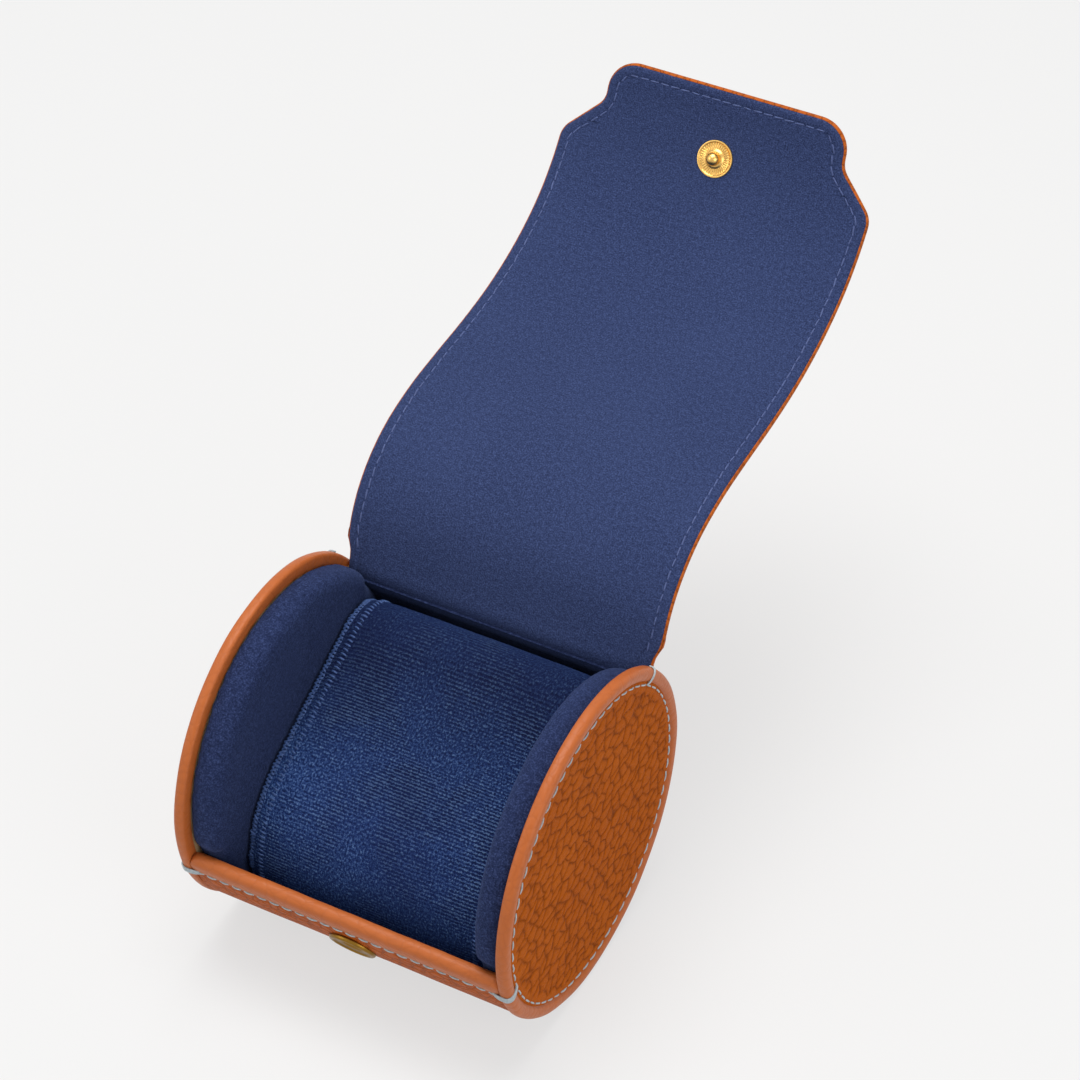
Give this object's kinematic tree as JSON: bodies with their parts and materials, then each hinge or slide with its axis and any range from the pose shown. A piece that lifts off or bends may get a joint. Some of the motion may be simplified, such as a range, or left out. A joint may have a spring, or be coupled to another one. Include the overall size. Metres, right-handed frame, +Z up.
{
  "type": "watch travel case",
  "caption": "Round leather travel case for a watch: a drum with padded ends, a lift-out cushion and a wrap-over flap that closes with a snap.",
  "frame": {"origin": "the drum's line of rest on the table, midway between its ends", "axes": "X along the drum, +Y to the back where the open flap goes, +Z up"},
  "size_m": [0.088, 0.1974, 0.1477],
  "materials": {
    "drum_leather": "smooth brown leather, slightly wrinkled near the ends",
    "cap_leather": "pebbled tan leather",
    "edge_leather": "smooth rolled tan leather",
    "flap_leather": "smooth tan leather with a turned edge",
    "board": "fibre board",
    "lining": "dark blue microsuede",
    "suede": "blue microsuede",
    "plush": "deep blue ribbed velvet",
    "seam_thread": "overlocked blue seam",
    "thread": "pale blue waxed thread",
    "foam": "soft foam",
    "brass": "polished",
    "spring_steel": "plain"
  },
  "bodies": {
    "drum": {"drum_leather": "drum_leather", "drum_board": "board", "drum_lining": "lining", "front_lip": "edge_leather", "lip_stitches": "thread", "hinge_strip": "edge_leather", "left_rim": "edge_leather", "right_rim": "edge_leather", "left_cap_leather": "cap_leather", "right_cap_leather": "cap_leather", "left_cap_board": "board", "right_cap_board": "board", "left_ring_stitches": "thread", "right_ring_stitches": "thread", "left_pad_foam": "foam", "right_pad_foam": "foam", "left_pad_cover": "suede", "right_pad_cover": "suede", "socket": "brass", "socket_spring": "spring_steel", "socket_eyelet": "brass"},
    "cushion": {"cushion_foam": "foam", "cushion_cover": "plush", "cushion_seams": "seam_thread", "cushion_left_panel": "plush", "cushion_right_panel": "plush"},
    "flap_1": {"flap_leather_1": "flap_leather", "flap_lining_1": "suede"},
    "flap_2": {"flap_leather_2": "flap_leather", "flap_lining_2": "suede"},
    "flap_3": {"flap_leather_3": "flap_leather", "flap_lining_3": "suede"},
    "flap_4": {"flap_leather_4": "flap_leather", "flap_lining_4": "suede"},
    "flap_5": {"flap_leather_5": "flap_leather", "flap_lining_5": "suede"},
    "flap_6": {"flap_leather_6": "flap_leather", "flap_lining_6": "suede"},
    "flap_7": {"flap_leather_7": "flap_leather", "flap_lining_7": "suede"},
    "flap_8": {"flap_leather_8": "flap_leather", "flap_lining_8": "suede"},
    "flap_9": {"flap_leather_9": "flap_leather", "flap_lining_9": "suede"},
    "flap_10": {"flap_leather_10": "flap_leather", "flap_lining_10": "suede", "stud": "brass", "stud_button": "brass"},
    "flap_11": {"flap_leather_11": "flap_leather", "flap_lining_11": "suede"}
  },
  "joints": [
    {"name": "flap_fold", "type": "hinge", "parent": "drum", "child": "flap_1", "pos_m": [0, 0.03501, 0.07237], "axis": [1, 0, 0], "range_deg": [-8, 71.94]},
    {"name": "flap_bend_2", "type": "hinge", "parent": "flap_1", "child": "flap_2", "pos_m": [0, 0.04056, 0.08544], "axis": [1, 0, 0], "range_deg": [-5, 44.88]},
    {"name": "flap_bend_3", "type": "hinge", "parent": "flap_2", "child": "flap_3", "pos_m": [0, 0.05143, 0.09457], "axis": [1, 0, 0], "range_deg": [-4.56, 40.88]},
    {"name": "flap_bend_4", "type": "hinge", "parent": "flap_3", "child": "flap_4", "pos_m": [0, 0.06501, 0.09872], "axis": [1, 0, 0], "range_deg": [-3.22, 28.88]},
    {"name": "flap_bend_5", "type": "hinge", "parent": "flap_4", "child": "flap_5", "pos_m": [0, 0.07913, 0.10021], "axis": [1, 0, 0], "range_deg": [-2.22, 19.88]},
    {"name": "flap_bend_6", "type": "hinge", "parent": "flap_5", "child": "flap_6", "pos_m": [0, 0.0933, 0.1012], "axis": [1, 0, 0], "range_deg": [-1.44, 12.88]},
    {"name": "flap_bend_7", "type": "hinge", "parent": "flap_6", "child": "flap_7", "pos_m": [0, 0.10732, 0.10342], "axis": [1, 0, 0], "range_deg": [-1, 8.88]},
    {"name": "flap_bend_8", "type": "hinge", "parent": "flap_7", "child": "flap_8", "pos_m": [0, 0.12082, 0.10781], "axis": [1, 0, 0], "range_deg": [-0.77, 6.88]},
    {"name": "flap_bend_9", "type": "hinge", "parent": "flap_8", "child": "flap_9", "pos_m": [0, 0.13324, 0.11469], "axis": [1, 0, 0], "range_deg": [-0.22, 1.88]},
    {"name": "flap_bend_10", "type": "hinge", "parent": "flap_9", "child": "flap_10", "pos_m": [0, 0.14328, 0.12473], "axis": [1, 0, 0], "range_deg": [-0.22, 1.88]},
    {"name": "flap_bend_11", "type": "hinge", "parent": "flap_10", "child": "flap_11", "pos_m": [0, 0.15016, 0.13715], "axis": [1, 0, 0], "range_deg": [-0.55, 4.88]},
    {"name": "cushion_lift", "type": "slide", "parent": "drum", "child": "cushion", "axis": [0, -0.454, 0.891], "range_m": [0, 0.095]}
  ],
  "couplings": [
    {"joint": "flap_bend_2", "follows": "flap_fold", "ratio": 0.62379},
    {"joint": "flap_bend_3", "follows": "flap_fold", "ratio": 0.56819},
    {"joint": "flap_bend_4", "follows": "flap_fold", "ratio": 0.40138},
    {"joint": "flap_bend_5", "follows": "flap_fold", "ratio": 0.27627},
    {"joint": "flap_bend_6", "follows": "flap_fold", "ratio": 0.17896},
    {"joint": "flap_bend_7", "follows": "flap_fold", "ratio": 0.12335},
    {"joint": "flap_bend_8", "follows": "flap_fold", "ratio": 0.09555},
    {"joint": "flap_bend_9", "follows": "flap_fold", "ratio": 0.02605},
    {"joint": "flap_bend_10", "follows": "flap_fold", "ratio": 0.02605},
    {"joint": "flap_bend_11", "follows": "flap_fold", "ratio": 0.06775}
  ]
}
